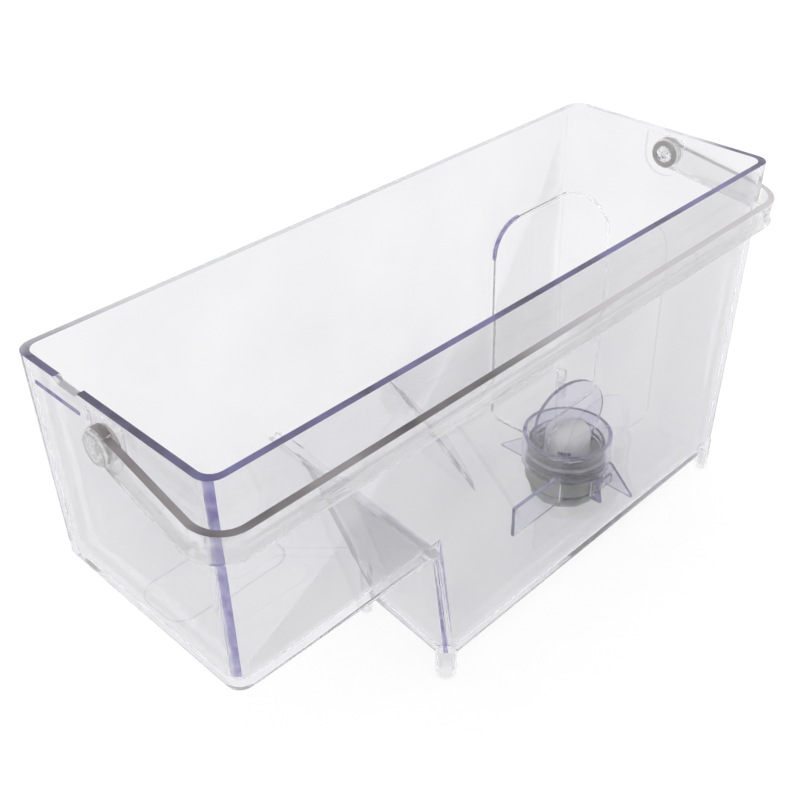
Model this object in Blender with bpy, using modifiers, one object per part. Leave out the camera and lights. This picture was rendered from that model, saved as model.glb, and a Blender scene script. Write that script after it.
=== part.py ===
"""Lift-out fresh water tank: clear stepped tank, carry handle and docking outlet valve.

Metres, +Z up. The tank is drawn in its own datum frame and placed by the parent empty "tank_datum":
x from the rim's shallow end to its deep end, y from the front wall to the back wall, z = 0 at the rim.
The world origin is the bottom centre of the box around the whole tank with the handle stowed.
"""

import math

import bmesh
import bpy
from mathutils import Matrix, Vector

# ---- driving dimensions: tank ----
TANK_LENGTH = 0.330
TANK_WIDTH = 0.113
TANK_DEPTH = 0.169  # rim to the underside of the deep floor
SHALLOW_DEPTH = 0.099  # rim to the underside of the shallow floor
STEP_FROM_END = 0.103  # shallow end to the step wall, at the front
STEP_SKEW = 0.009  # how much further the step wall lies at the back
STEP_LEAN = 0.0075  # how much the step wall leans in on its way down
WALL = 0.003
END_DRAFT = 0.0139  # inward run of an end wall per metre of depth
SIDE_DRAFT = 0.0096  # the same for the long walls
CORNER_RADIUS = 0.007
FLOOR_RADIUS = 0.005
FOOT_HEIGHT = 0.0125
MAIN_FOOT_RADIUS = 0.005
SMALL_FOOT_RADIUS = 0.0033
FOOT_WALL = 0.0016
FOOT_INSET = 0.0005  # foot's side to the wall's foot
SLANT_FOOT_BACK = 0.0118691  # how far the foot under the slanted face stands behind that face's foot
BACK_FOOT_INSET = 0.004

# ---- driving dimensions: details of the tank's walls ----
NOTCH_CENTRE_Y = 0.0785
NOTCH_WIDTH = 0.015
NOTCH_DEPTH = 0.002
RELIEF_DEPTH = 0.0025  # corner panel, set into the two walls
RELIEF_TOP = 0.0495
RELIEF_LENGTH = 0.066  # along the back wall
RELIEF_WIDTH = 0.030  # along the end wall
RELIEF_SHOULDER = 0.016
FACET_EDGE = 0.0163  # back wall to the slanted face, at the step's head
FACET_LEAN = 0.0492  # how far the slanted face comes forward down to the floor
FACET_RUN = 0.0958  # length of the slanted face along the floor
FACET_SPREAD = 0.0248  # how far it turns back along that length
FACET_TOP_RUN = 0.0694  # length of the hollow along the back wall, at the step's level
FACET_BACK_RUN = 0.1186  # the same, at the floor

# ---- driving dimensions: handle ----
PIVOT_DEPTH = 0.013
POCKET_WIDTH = 0.022
POCKET_DEPTH = 0.0015
BOSS_RADIUS = 0.004
PIN_SHANK_RADIUS = 0.0016
PIN_HEAD_RADIUS = 0.0066
PIN_HEAD_THICKNESS = 0.0014
WASHER_THICKNESS = 0.0012
EYE_RADIUS = 0.0076
HANDLE_THICKNESS = 0.003
HANDLE_ROOT_HEIGHT = 0.0134
HANDLE_BAR_HEIGHT = 0.0130
HANDLE_ROOT_GAP = 0.0006  # arm to end wall, at the eye
HANDLE_CORNER_GAP = 0.0028  # arm to end wall, at the corner
HANDLE_FRONT_GAP = 0.0045
HANDLE_CORNER_RADIUS = 0.0115
HANDLE_LIP = 0.0022  # outward flare of the lower edge
HANDLE_DROOP = math.radians(8)
BAR_TOP_SHARE = 0.35  # share of the bar's height that lies above the pivot's level
LIP_START = 0.4  # share of the flare reached at LIP_START_DOWN of the height
LIP_START_DOWN = 0.84

# ---- driving dimensions: outlet valve, heights above the inner floor ----
VALVE_X = 0.2483
VALVE_FROM_FRONT = 0.0452
BASE_RADIUS = 0.0206
BASE_TOP = 0.0120
SPIGOT_STEP = 0.0021  # base's side to the spigot's side
HOUSING_TOP = 0.0168
NECK_RADIUS = 0.012
NOSE_RADIUS = 0.009
NOSE_LENGTH = 0.0035
NECK_BELOW_FLOOR = 0.007
CHAMBER_RADIUS = 0.010
SEAT_HEIGHT = -0.003
BORE_RADIUS = 0.005
BRIDGE_SEAT = 0.0135
BRIDGE_RADIUS = 0.013
BRIDGE_THICKNESS = 0.0015
GASKET_THICKNESS = 0.0014
NUT_HEIGHT = 0.0045
NUT_RADIUS = 0.018
POPPET_RADIUS = 0.0084
POPPET_THICKNESS = 0.002
STEM_RADIUS = 0.002
STEM_TOP = 0.0162
STEM_BOTTOM = -0.009
SPRING_RADIUS = 0.005
SPRING_WIRE = 0.0005
SPRING_TURNS = 5
COLLAR_STEP = 0.0024  # collar's side beyond the base's side
COLLAR_WALL = 0.002
COLLAR_TOP = 0.0294
COLLAR_FLANGE = 0.002
SEAL_THICKNESS = 0.0015
FIN_THICKNESS = 0.002
FIN_REACH = 0.0556
FIN_OFFSET = 0.0109
FIN_HEIGHT = 0.018
INSERT_PLATE = 0.0015
INSERT_RING_TOP = 0.0245
INSERT_WALL = 0.0014
GRIP_CENTRE = 0.0393
GRIP_THICKNESS = 0.002
GRIP_TURN = math.radians(-15.5)
DOME_RADIUS = 0.012
DOME_TOP = 0.037
DOME_CAP = 0.009  # height of the rounded top
DOME_WALL = 0.0012
SLEEVE_WALL = 0.0006
SLEEVE_TOP = 0.029

GAP = 0.0003  # clearance between touching pieces
RUN = 0.0003  # radial running clearance
OVERCUT = 0.01  # how far a cutter runs past the surface it cuts
MERGE = 0.00001
ROUND_STEPS = 48
SMALL_STEPS = 28

# ---- places that follow from the driving dimensions ----
FLOOR = -TANK_DEPTH + WALL  # top of the deep floor
PIVOT_Y = TANK_WIDTH / 2
VALVE_Y = VALVE_FROM_FRONT
HANDLE_REACH = TANK_WIDTH / 2 + HANDLE_FRONT_GAP  # pivot to the bar's inner face
INSERT_BASE = HOUSING_TOP + GAP
DOME_BASE = INSERT_BASE + INSERT_PLATE + GAP
SPIGOT_RADIUS = BASE_RADIUS - SPIGOT_STEP
COLLAR_RADIUS = BASE_RADIUS + COLLAR_STEP
GRIP_RADIUS = COLLAR_RADIUS - COLLAR_WALL  # the disc is as wide as the ring's bore


def handle_forward_reach():
    """Furthest point of the stowed bar in front of its pivot axis: the outer corner of its flared edge."""
    slope = math.atan2(HANDLE_LIP * (1 - LIP_START), HANDLE_BAR_HEIGHT * (1 - LIP_START_DOWN))
    out = HANDLE_REACH + HANDLE_LIP + HANDLE_THICKNESS * math.cos(slope)
    up = HANDLE_BAR_HEIGHT * (BAR_TOP_SHARE - 1) + HANDLE_THICKNESS * math.sin(slope)
    return out * math.cos(HANDLE_DROOP) + up * math.sin(HANDLE_DROOP)


DATUM = Vector((
    -TANK_LENGTH / 2,
    (handle_forward_reach() - TANK_WIDTH / 2) / 2 - TANK_WIDTH / 2,
    TANK_DEPTH + FOOT_HEIGHT,
))


# ---- scene helpers ----
def fresh_collection(name):
    collection = bpy.data.collections.new(name)
    bpy.context.scene.collection.children.link(collection)
    return collection


def material(name, rgb, roughness, metallic=0.0, transmission=0.0):
    made = bpy.data.materials.new(name)
    made.use_nodes = True
    shader = made.node_tree.nodes["Principled BSDF"]
    shader.inputs["Base Color"].default_value = (*rgb, 1.0)
    shader.inputs["Roughness"].default_value = roughness
    shader.inputs["Metallic"].default_value = metallic
    shader.inputs["Transmission Weight"].default_value = transmission
    return made


def adopt(mesh, name, location=(0, 0, 0), finish=None, cutter=False):
    """Make an object of a mesh, hang it on the datum and file it with the parts or the cutters."""
    thing = bpy.data.objects.new(name, mesh)
    (cutters if cutter else parts).objects.link(thing)
    thing.parent = datum
    thing.location = location
    if cutter:
        thing.hide_render = True
        thing.display_type = "WIRE"
    else:
        mesh.materials.append(finish)
    return thing


def mesh_of(bm, name):
    bmesh.ops.recalc_face_normals(bm, faces=bm.faces[:])
    mesh = bpy.data.meshes.new(name)
    bm.to_mesh(mesh)
    bm.free()
    return mesh


def boolean(target, other, operation):
    cut = target.modifiers.new(f"{operation.lower()}_{other.name}", "BOOLEAN")
    cut.operation = operation
    cut.object = other
    cut.solver = "EXACT"


def box_mesh(name, low, high, rounded=0.0, pick=None, segments=6):
    """Box between two corners; the edges that pick chooses are rounded."""
    bm = bmesh.new()
    bmesh.ops.create_cube(bm, size=1.0)
    middle = (Vector(low) + Vector(high)) / 2
    size = Vector(high) - Vector(low)
    placed = Matrix.Translation(middle) @ Matrix.Diagonal((*size, 1.0))
    bmesh.ops.transform(bm, matrix=placed, verts=bm.verts[:])
    if rounded:
        chosen = [edge for edge in bm.edges if pick(edge)]
        bmesh.ops.bevel(bm, geom=chosen, offset=rounded, segments=segments, profile=0.5, affect="EDGES")
    return mesh_of(bm, name)


def cylinder_mesh(name, radius, low, high, axis="Z", steps=SMALL_STEPS, turn=0.0):
    """Closed cylinder along one axis, from low to high on it."""
    bm = bmesh.new()
    bmesh.ops.create_cone(
        bm, cap_ends=True, segments=steps, radius1=radius, radius2=radius, depth=abs(high - low)
    )
    place = Matrix.Translation((0, 0, (low + high) / 2)) @ Matrix.Rotation(turn, 4, "Z")
    if axis == "X":
        place = Matrix.Rotation(math.pi / 2, 4, "Y") @ place
    bmesh.ops.transform(bm, matrix=place, verts=bm.verts[:])
    return mesh_of(bm, name)


def turned(name, profile, closed=False, steps=ROUND_STEPS, **where):
    """Turned piece: (radius, height) points, down the outer side; a ring's profile is closed."""
    mesh = bpy.data.meshes.new(name)
    edges = [(i, i + 1) for i in range(len(profile) - 1)]
    if closed:
        edges.append((len(profile) - 1, 0))
    mesh.from_pydata([(radius, 0, height) for radius, height in profile], edges, [])
    thing = adopt(mesh, name, **where)
    screw = thing.modifiers.new("turn", "SCREW")
    screw.axis = "Z"
    screw.angle = math.tau
    screw.steps = steps
    screw.render_steps = steps
    screw.use_merge_vertices = True
    screw.merge_threshold = MERGE
    screw.use_smooth_shade = False
    return thing


def ring_profile(inner, outer, bottom, top):
    return [(inner, top), (outer, top), (outer, bottom), (inner, bottom)]


def arc_points(centre, radius, start, end, count):
    """Points of a circular arc, start and end in radians, both ends included."""
    return [
        (
            centre[0] + radius[0] * math.cos(start + (end - start) * i / count),
            centre[1] + radius[1] * math.sin(start + (end - start) * i / count),
        )
        for i in range(count + 1)
    ]


# ---- tank ----
def stepped_solid(name, inset, top):
    """The tank's stepped outer form, or with an inset the space inside it: both drafted and rounded."""
    outline = [
        (0.0, top),
        (0.0, -SHALLOW_DEPTH),
        (STEP_FROM_END, -SHALLOW_DEPTH),
        (STEP_FROM_END, -TANK_DEPTH),
        (TANK_LENGTH, -TANK_DEPTH),
        (TANK_LENGTH, top),
    ]
    bm = bmesh.new()
    bm.faces.new([bm.verts.new((x, 0.0, z)) for x, z in outline])
    grown = bmesh.ops.extrude_face_region(bm, geom=bm.faces[:])
    for element in grown["geom"]:
        if isinstance(element, bmesh.types.BMVert):
            element.co.y = TANK_WIDTH
    for vert in bm.verts:
        x, y, z = vert.co
        back = y > TANK_WIDTH / 2
        if x == 0.0:
            vert.co.x = END_DRAFT * -z + inset
        elif x > TANK_LENGTH / 2:
            vert.co.x = TANK_LENGTH - END_DRAFT * -z - inset
        else:
            down = (-z - SHALLOW_DEPTH) / (TANK_DEPTH - SHALLOW_DEPTH)
            vert.co.x = STEP_FROM_END + (STEP_SKEW if back else 0.0) + STEP_LEAN * down + inset
        lean = SIDE_DRAFT * -z + inset
        vert.co.y = TANK_WIDTH - lean if back else lean
        if z < 0.0:
            vert.co.z = z + inset

    def upright(edge):
        return abs(edge.verts[0].co.z - edge.verts[1].co.z) > TANK_WIDTH / 4

    bmesh.ops.bevel(
        bm,
        geom=[edge for edge in bm.edges if upright(edge)],
        offset=max(CORNER_RADIUS - inset / 2, CORNER_RADIUS / 2),
        segments=5,
        profile=0.5,
        affect="EDGES",
    )
    low_edges = [
        edge
        for edge in bm.edges
        if not upright(edge)
        and max(vert.co.z for vert in edge.verts) < top - SHALLOW_DEPTH / 2
        and edge.calc_face_angle(0.0) > math.radians(50)
    ]
    floor_round = FLOOR_RADIUS - inset / 6
    bmesh.ops.bevel(bm, geom=low_edges, offset=floor_round, segments=3, profile=0.5, affect="EDGES")
    return mesh_of(bm, name)


def relief_block(name, grow):
    """Block over the deep end's back corner, with rounded shoulders; grow widens it by a wall."""
    left = TANK_LENGTH - RELIEF_LENGTH - grow
    front = TANK_WIDTH - RELIEF_WIDTH - grow
    head = -RELIEF_TOP + grow

    def shoulder(edge):
        a, b = edge.verts
        high = min(a.co.z, b.co.z) > head - MERGE
        at_left = max(a.co.x, b.co.x) < left + MERGE
        at_front = max(a.co.y, b.co.y) < front + MERGE
        return high and (at_left or at_front)

    low = (left, front, -TANK_DEPTH - OVERCUT)
    high = (TANK_LENGTH + OVERCUT, TANK_WIDTH + OVERCUT, head)
    return box_mesh(name, low, high, rounded=RELIEF_SHOULDER + grow, pick=shoulder)


def relief_cutter(name, grow):
    """What the relief panel takes off the solid that is set in by grow."""
    block = adopt(relief_block(name, grow), name, cutter=True)
    core = adopt(stepped_solid(name + "_core", RELIEF_DEPTH + grow, OVERCUT), name + "_core", cutter=True)
    boolean(block, core, "DIFFERENCE")
    return block


def facet_wedge(name, grow):
    """Wedge under the step's back end: it slants the deep part's rear corner near the step."""
    step_back = STEP_FROM_END + STEP_SKEW
    head = Vector((step_back, TANK_WIDTH - FACET_EDGE, -SHALLOW_DEPTH))
    foot = Vector((step_back, TANK_WIDTH - FACET_EDGE - FACET_LEAN, -TANK_DEPTH))
    far_foot = foot + Vector((FACET_RUN, FACET_SPREAD, 0))
    face_normal = (foot - head).cross(far_foot - head).normalized()
    if face_normal.y < 0:
        face_normal.negate()
    far_top = Vector((step_back + FACET_TOP_RUN, TANK_WIDTH, -SHALLOW_DEPTH))
    far_corner = Vector((step_back + FACET_BACK_RUN, TANK_WIDTH, -TANK_DEPTH))
    end_normal = (far_top - far_foot).cross(far_corner - far_foot).normalized()
    if end_normal.x > 0:
        end_normal.negate()
    bm = bmesh.new()
    bmesh.ops.create_cube(bm, size=1.0)
    low = Vector((step_back - 0.02, TANK_WIDTH / 3, -TANK_DEPTH - OVERCUT))
    top = -SHALLOW_DEPTH - WALL / 3 + grow
    high = Vector((step_back + FACET_BACK_RUN + OVERCUT, TANK_WIDTH + OVERCUT, top))
    middle = (low + high) / 2
    bmesh.ops.transform(
        bm, matrix=Matrix.Translation(middle) @ Matrix.Diagonal((*(high - low), 1.0)), verts=bm.verts[:]
    )
    for point, normal in ((head, face_normal), (far_foot, end_normal)):
        cut = bmesh.ops.bisect_plane(
            bm,
            geom=bm.verts[:] + bm.edges[:] + bm.faces[:],
            plane_co=point - normal * grow,
            plane_no=normal,
            clear_inner=True,
        )
        rim = [element for element in cut["geom_cut"] if isinstance(element, bmesh.types.BMEdge)]
        bmesh.ops.contextual_create(bm, geom=rim)
    return adopt(mesh_of(bm, name), name, cutter=True)


def slant_foot_line(x):
    """Where the slanted face meets the deep floor's underside, at a place along the tank."""
    share = (x - STEP_FROM_END - STEP_SKEW) / FACET_RUN
    return TANK_WIDTH - FACET_EDGE - FACET_LEAN + FACET_SPREAD * share


def slant_height(x, y):
    """Height of the slanted face above the deep floor's underside, over a point."""
    return (y - slant_foot_line(x)) * (TANK_DEPTH - SHALLOW_DEPTH) / FACET_LEAN


def foot_places():
    """(x, y, radius, height of the surface it carries above the deep floor's underside) of the feet."""
    side_lean = SIDE_DRAFT * TANK_DEPTH
    left = STEP_FROM_END + STEP_LEAN
    right = TANK_LENGTH - END_DRAFT * TANK_DEPTH
    big = MAIN_FOOT_RADIUS + FOOT_INSET
    small = SMALL_FOOT_RADIUS + FOOT_INSET
    slant_x = left + small + BACK_FOOT_INSET
    slant_y = slant_foot_line(slant_x) + SLANT_FOOT_BACK
    return [
        (left + big, side_lean + big, MAIN_FOOT_RADIUS, 0.0),
        (right - small, side_lean + small, SMALL_FOOT_RADIUS, 0.0),
        (slant_x, slant_y, SMALL_FOOT_RADIUS, slant_height(slant_x, slant_y)),
        (right - small, TANK_WIDTH - side_lean - RELIEF_DEPTH - small, SMALL_FOOT_RADIUS, 0.0),
    ]


def add_feet(tank):
    """Hollow round feet, joined to the tank before its space is cut out."""
    ground = -TANK_DEPTH - FOOT_HEIGHT
    for number, (x, y, radius, rise) in enumerate(foot_places(), 1):
        top = FOOT_HEIGHT + rise + 2 * WALL
        post = cylinder_mesh(f"foot_post_{number}", radius, 0, top)
        boolean(tank, adopt(post, f"foot_post_{number}", (x, y, ground), cutter=True), "UNION")


def hollow_feet(tank):
    ground = -TANK_DEPTH - FOOT_HEIGHT
    for number, (x, y, radius, _) in enumerate(foot_places(), 1):
        bore = cylinder_mesh(f"foot_bore_{number}", radius - FOOT_WALL, -OVERCUT, FOOT_HEIGHT - WALL / 2)
        boolean(tank, adopt(bore, f"foot_bore_{number}", (x, y, ground), cutter=True), "DIFFERENCE")


def end_places():
    """(name, x of the rim's end plane, outward direction) of the two end walls."""
    return [("left", 0.0, -1), ("right", TANK_LENGTH, 1)]


def wall_at_pivot():
    """How far the end wall's outside lies behind the rim's end plane, at the pivot's depth."""
    return END_DRAFT * PIVOT_DEPTH


def eye_inner_face():
    """Inner face of the handle's eye, measured outwards from the rim's end plane."""
    return -wall_at_pivot() - POCKET_DEPTH + GAP + WASHER_THICKNESS + GAP


def eye_outer_face():
    return eye_inner_face() + HANDLE_THICKNESS + 2 * GAP


def x_span(end_x, direction, inner, outer):
    """Low and high x of a stretch given by its distances outwards from an end plane."""
    ends = sorted((end_x + direction * inner, end_x + direction * outer))
    return ends[0], ends[1]


def cut_pockets(tank):
    """U-shaped pockets that the handle's eyes sit in."""
    for side, end_x, direction in end_places():
        floor = -wall_at_pivot() - POCKET_DEPTH
        low_x, high_x = x_span(end_x, direction, floor, OVERCUT)
        half = POCKET_WIDTH / 2
        low = (low_x, PIVOT_Y - half, -PIVOT_DEPTH - half)
        high = (high_x, PIVOT_Y + half, -WALL)

        def lower_corner(edge):
            level = max(vert.co.z for vert in edge.verts) < -PIVOT_DEPTH
            return level and abs(edge.verts[0].co.x - edge.verts[1].co.x) > WALL

        pocket = box_mesh(f"pocket_{side}", low, high, rounded=half * 0.96, pick=lower_corner)
        boolean(tank, adopt(pocket, f"pocket_{side}", cutter=True), "DIFFERENCE")


def add_bosses(tank):
    """Round bosses that carry the handle's eyes, with blind holes for the snap pins."""
    for side, end_x, direction in end_places():
        at = (end_x, PIVOT_Y, -PIVOT_DEPTH)
        root = -wall_at_pivot() - POCKET_DEPTH - WALL / 4
        low, high = x_span(0.0, direction, root, eye_outer_face())
        boss = cylinder_mesh(f"boss_{side}", BOSS_RADIUS, low, high, axis="X")
        boolean(tank, adopt(boss, f"boss_{side}", at, cutter=True), "UNION")
        low, high = x_span(0.0, direction, root + WALL / 4, OVERCUT)
        hole = cylinder_mesh(f"boss_hole_{side}", PIN_SHANK_RADIUS + GAP, low, high, axis="X")
        boolean(tank, adopt(hole, f"boss_hole_{side}", at, cutter=True), "DIFFERENCE")


def cut_notch(tank):
    """Shallow notch with sloping ends in the shallow end's rim."""
    bm = bmesh.new()
    half = NOTCH_WIDTH / 2
    slope = NOTCH_DEPTH * 0.8
    outline = [
        (NOTCH_CENTRE_Y - half, OVERCUT),
        (NOTCH_CENTRE_Y - half, 0.0),
        (NOTCH_CENTRE_Y - half + slope, -NOTCH_DEPTH),
        (NOTCH_CENTRE_Y + half - slope, -NOTCH_DEPTH),
        (NOTCH_CENTRE_Y + half, 0.0),
        (NOTCH_CENTRE_Y + half, OVERCUT),
    ]
    bm.faces.new([bm.verts.new((-OVERCUT, y, z)) for y, z in outline])
    grown = bmesh.ops.extrude_face_region(bm, geom=bm.faces[:])
    moved = [element for element in grown["geom"] if isinstance(element, bmesh.types.BMVert)]
    bmesh.ops.translate(bm, verts=moved, vec=(OVERCUT + 2 * WALL, 0, 0))
    boolean(tank, adopt(mesh_of(bm, "rim_notch"), "rim_notch", cutter=True), "DIFFERENCE")


def build_tank(finish):
    tank = adopt(stepped_solid("tank_body", 0.0, 0.0), "tank_body", finish=finish)
    boolean(tank, relief_cutter("relief_outside", 0.0), "DIFFERENCE")
    boolean(tank, facet_wedge("facet_outside", 0.0), "DIFFERENCE")
    add_feet(tank)
    space = adopt(stepped_solid("water_space", WALL, 2 * OVERCUT), "water_space", cutter=True)
    boolean(space, relief_cutter("relief_inside", WALL), "DIFFERENCE")
    boolean(space, facet_wedge("facet_inside", WALL), "DIFFERENCE")
    boolean(tank, space, "DIFFERENCE")
    hollow_feet(tank)
    cut_pockets(tank)
    add_bosses(tank)
    cut_notch(tank)
    outlet = cylinder_mesh("outlet_hole", NECK_RADIUS + GAP, -OVERCUT, OVERCUT, steps=ROUND_STEPS)
    boolean(tank, adopt(outlet, "outlet_hole", (VALVE_X, VALVE_Y, FLOOR), cutter=True), "DIFFERENCE")
    return tank


# ---- handle ----
def handle_path():
    """(x, y, outward x, outward y, progress) along the inner face, from mid-bar to the right eye."""
    corner_x = TANK_LENGTH / 2 + HANDLE_CORNER_GAP
    root_x = TANK_LENGTH / 2 + HANDLE_ROOT_GAP
    radius = HANDLE_CORNER_RADIUS
    path = [(0.0, -HANDLE_REACH, 0.0, -1.0, 1.0)]
    for i in range(9):
        angle = -math.pi / 2 + math.pi / 2 * i / 8
        out_x, out_y = math.cos(angle), math.sin(angle)
        path.append((
            corner_x - radius + radius * out_x,
            -HANDLE_REACH + radius + radius * out_y,
            out_x,
            out_y,
            1.0,
        ))
    arm = HANDLE_REACH - radius
    for i in range(1, 7):
        share = 1 - i / 6
        path.append((root_x + (corner_x - root_x) * share, -arm * share, 1.0, 0.0, share))
    return path


def handle_ribbon():
    """Half of the bar and one arm as an open surface, with a flared lower edge."""
    bm = bmesh.new()
    rows = []
    for x, y, out_x, out_y, share in handle_path():
        height = HANDLE_ROOT_HEIGHT + (HANDLE_BAR_HEIGHT - HANDLE_ROOT_HEIGHT) * share
        top = height * (0.48 + (BAR_TOP_SHARE - 0.48) * share)
        row = []
        for down, flare in ((0.0, 0.0), (0.62, 0.0), (LIP_START_DOWN, LIP_START), (1.0, 1.0)):
            out = HANDLE_LIP * flare * share
            row.append(bm.verts.new((x + out_x * out, y + out_y * out, top - height * down)))
        rows.append(row)
    for near, far in zip(rows, rows[1:]):
        for k in range(len(near) - 1):
            bm.faces.new((near[k], near[k + 1], far[k + 1], far[k]))
    mesh = bpy.data.meshes.new("carry_handle")
    bm.to_mesh(mesh)
    bm.free()
    return mesh


def build_handle(finish):
    """One clear strip bent to a U; its origin lies on the hinge axis at mid-length."""
    at = (TANK_LENGTH / 2, PIVOT_Y, -PIVOT_DEPTH)
    handle = adopt(handle_ribbon(), "carry_handle", at, finish)
    handle.rotation_euler.x = HANDLE_DROOP
    mirror = handle.modifiers.new("other_half", "MIRROR")
    mirror.use_axis = (True, False, False)
    mirror.merge_threshold = MERGE
    wall = handle.modifiers.new("thickness", "SOLIDIFY")
    wall.thickness = HANDLE_THICKNESS
    wall.offset = 1.0
    wall.use_even_offset = True
    for side, end_x, direction in end_places():
        end_x -= TANK_LENGTH / 2
        low, high = x_span(end_x, direction, eye_inner_face(), eye_outer_face())
        eye = cylinder_mesh(f"eye_{side}", EYE_RADIUS, low, high, axis="X", steps=40)
        boolean(handle, adopt(eye, f"eye_{side}", at, cutter=True), "UNION")
        start, end = low - OVERCUT / 2, high + OVERCUT / 2
        hole = cylinder_mesh(f"eye_hole_{side}", BOSS_RADIUS + RUN, start, end, axis="X")
        boolean(handle, adopt(hole, f"eye_hole_{side}", at, cutter=True), "DIFFERENCE")
    return handle


def build_pivots(pin_finish, washer_finish):
    """Snap pins outside the eyes and thrust washers behind them."""
    for side, end_x, direction in end_places():
        at = (end_x, PIVOT_Y, -PIVOT_DEPTH)
        head_in = eye_outer_face() + GAP
        low, high = x_span(0.0, direction, head_in, head_in + PIN_HEAD_THICKNESS)
        pin = adopt(
            cylinder_mesh(f"pivot_pin_{side}", PIN_HEAD_RADIUS, low, high, axis="X", steps=40),
            f"pivot_pin_{side}",
            at,
            pin_finish,
        )
        tip = -wall_at_pivot() - POCKET_DEPTH + WALL / 4
        low, high = x_span(0.0, direction, tip, head_in + PIN_HEAD_THICKNESS / 2)
        shank = cylinder_mesh(f"pin_shank_{side}", PIN_SHANK_RADIUS, low, high, axis="X")
        boolean(pin, adopt(shank, f"pin_shank_{side}", at, cutter=True), "UNION")

        inner = -wall_at_pivot() - POCKET_DEPTH + GAP
        low, high = x_span(0.0, direction, inner, inner + WASHER_THICKNESS)
        washer = adopt(
            cylinder_mesh(f"pivot_washer_{side}", EYE_RADIUS * 0.9, low, high, axis="X", steps=40),
            f"pivot_washer_{side}",
            at,
            washer_finish,
        )
        hole = cylinder_mesh(
            f"washer_hole_{side}", BOSS_RADIUS + RUN, low - OVERCUT / 2, high + OVERCUT / 2, axis="X"
        )
        boolean(washer, adopt(hole, f"washer_hole_{side}", at, cutter=True), "DIFFERENCE")


# ---- outlet valve ----
def build_housing(finish):
    """Grey housing: base and spigot above the floor, neck and nose below it, chamber and seat inside."""
    neck_end = -WALL - NECK_BELOW_FLOOR
    nose_end = neck_end - NOSE_LENGTH
    base_bottom = GASKET_THICKNESS + 2 * GAP
    seal_room = NOSE_RADIUS - 0.002
    profile = [
        (BRIDGE_RADIUS, HOUSING_TOP),
        (SPIGOT_RADIUS, HOUSING_TOP),
        (SPIGOT_RADIUS, BASE_TOP),
        (BASE_RADIUS, BASE_TOP),
        (BASE_RADIUS, base_bottom),
        (NECK_RADIUS, base_bottom),
        (NECK_RADIUS, neck_end),
        (NOSE_RADIUS, neck_end),
        (NOSE_RADIUS, nose_end),
        (seal_room, nose_end),
        (seal_room, nose_end + NOSE_LENGTH + GAP),
        (BORE_RADIUS, nose_end + NOSE_LENGTH + GAP),
        (BORE_RADIUS, SEAT_HEIGHT),
        (CHAMBER_RADIUS, SEAT_HEIGHT),
        (CHAMBER_RADIUS, BRIDGE_SEAT),
        (BRIDGE_RADIUS, BRIDGE_SEAT),
    ]
    housing = turned("valve_housing", profile, closed=True, location=valve_at, finish=finish)
    seal = ring_profile(BORE_RADIUS - 0.0004, seal_room - GAP, nose_end + GAP, neck_end)
    turned("outlet_seal", seal, closed=True, steps=SMALL_STEPS, location=valve_at, finish=finishes["rubber"])
    return housing


def build_fixings():
    """Gasket above the floor and the nut that clamps the housing from below."""
    gasket = ring_profile(NECK_RADIUS + GAP, BASE_RADIUS - 0.0008, GAP, GAP + GASKET_THICKNESS)
    turned("housing_gasket", gasket, closed=True, location=valve_at, finish=finishes["rubber"])
    top = -WALL - GAP
    nut = adopt(
        cylinder_mesh("lock_nut", NUT_RADIUS, top - NUT_HEIGHT, top, steps=12),
        "lock_nut",
        valve_at,
        finishes["grey"],
    )
    bottom = top - NUT_HEIGHT
    hole = cylinder_mesh("nut_hole", NECK_RADIUS + GAP, bottom - OVERCUT, top + OVERCUT, steps=ROUND_STEPS)
    boolean(nut, adopt(hole, "nut_hole", valve_at, cutter=True), "DIFFERENCE")


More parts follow.
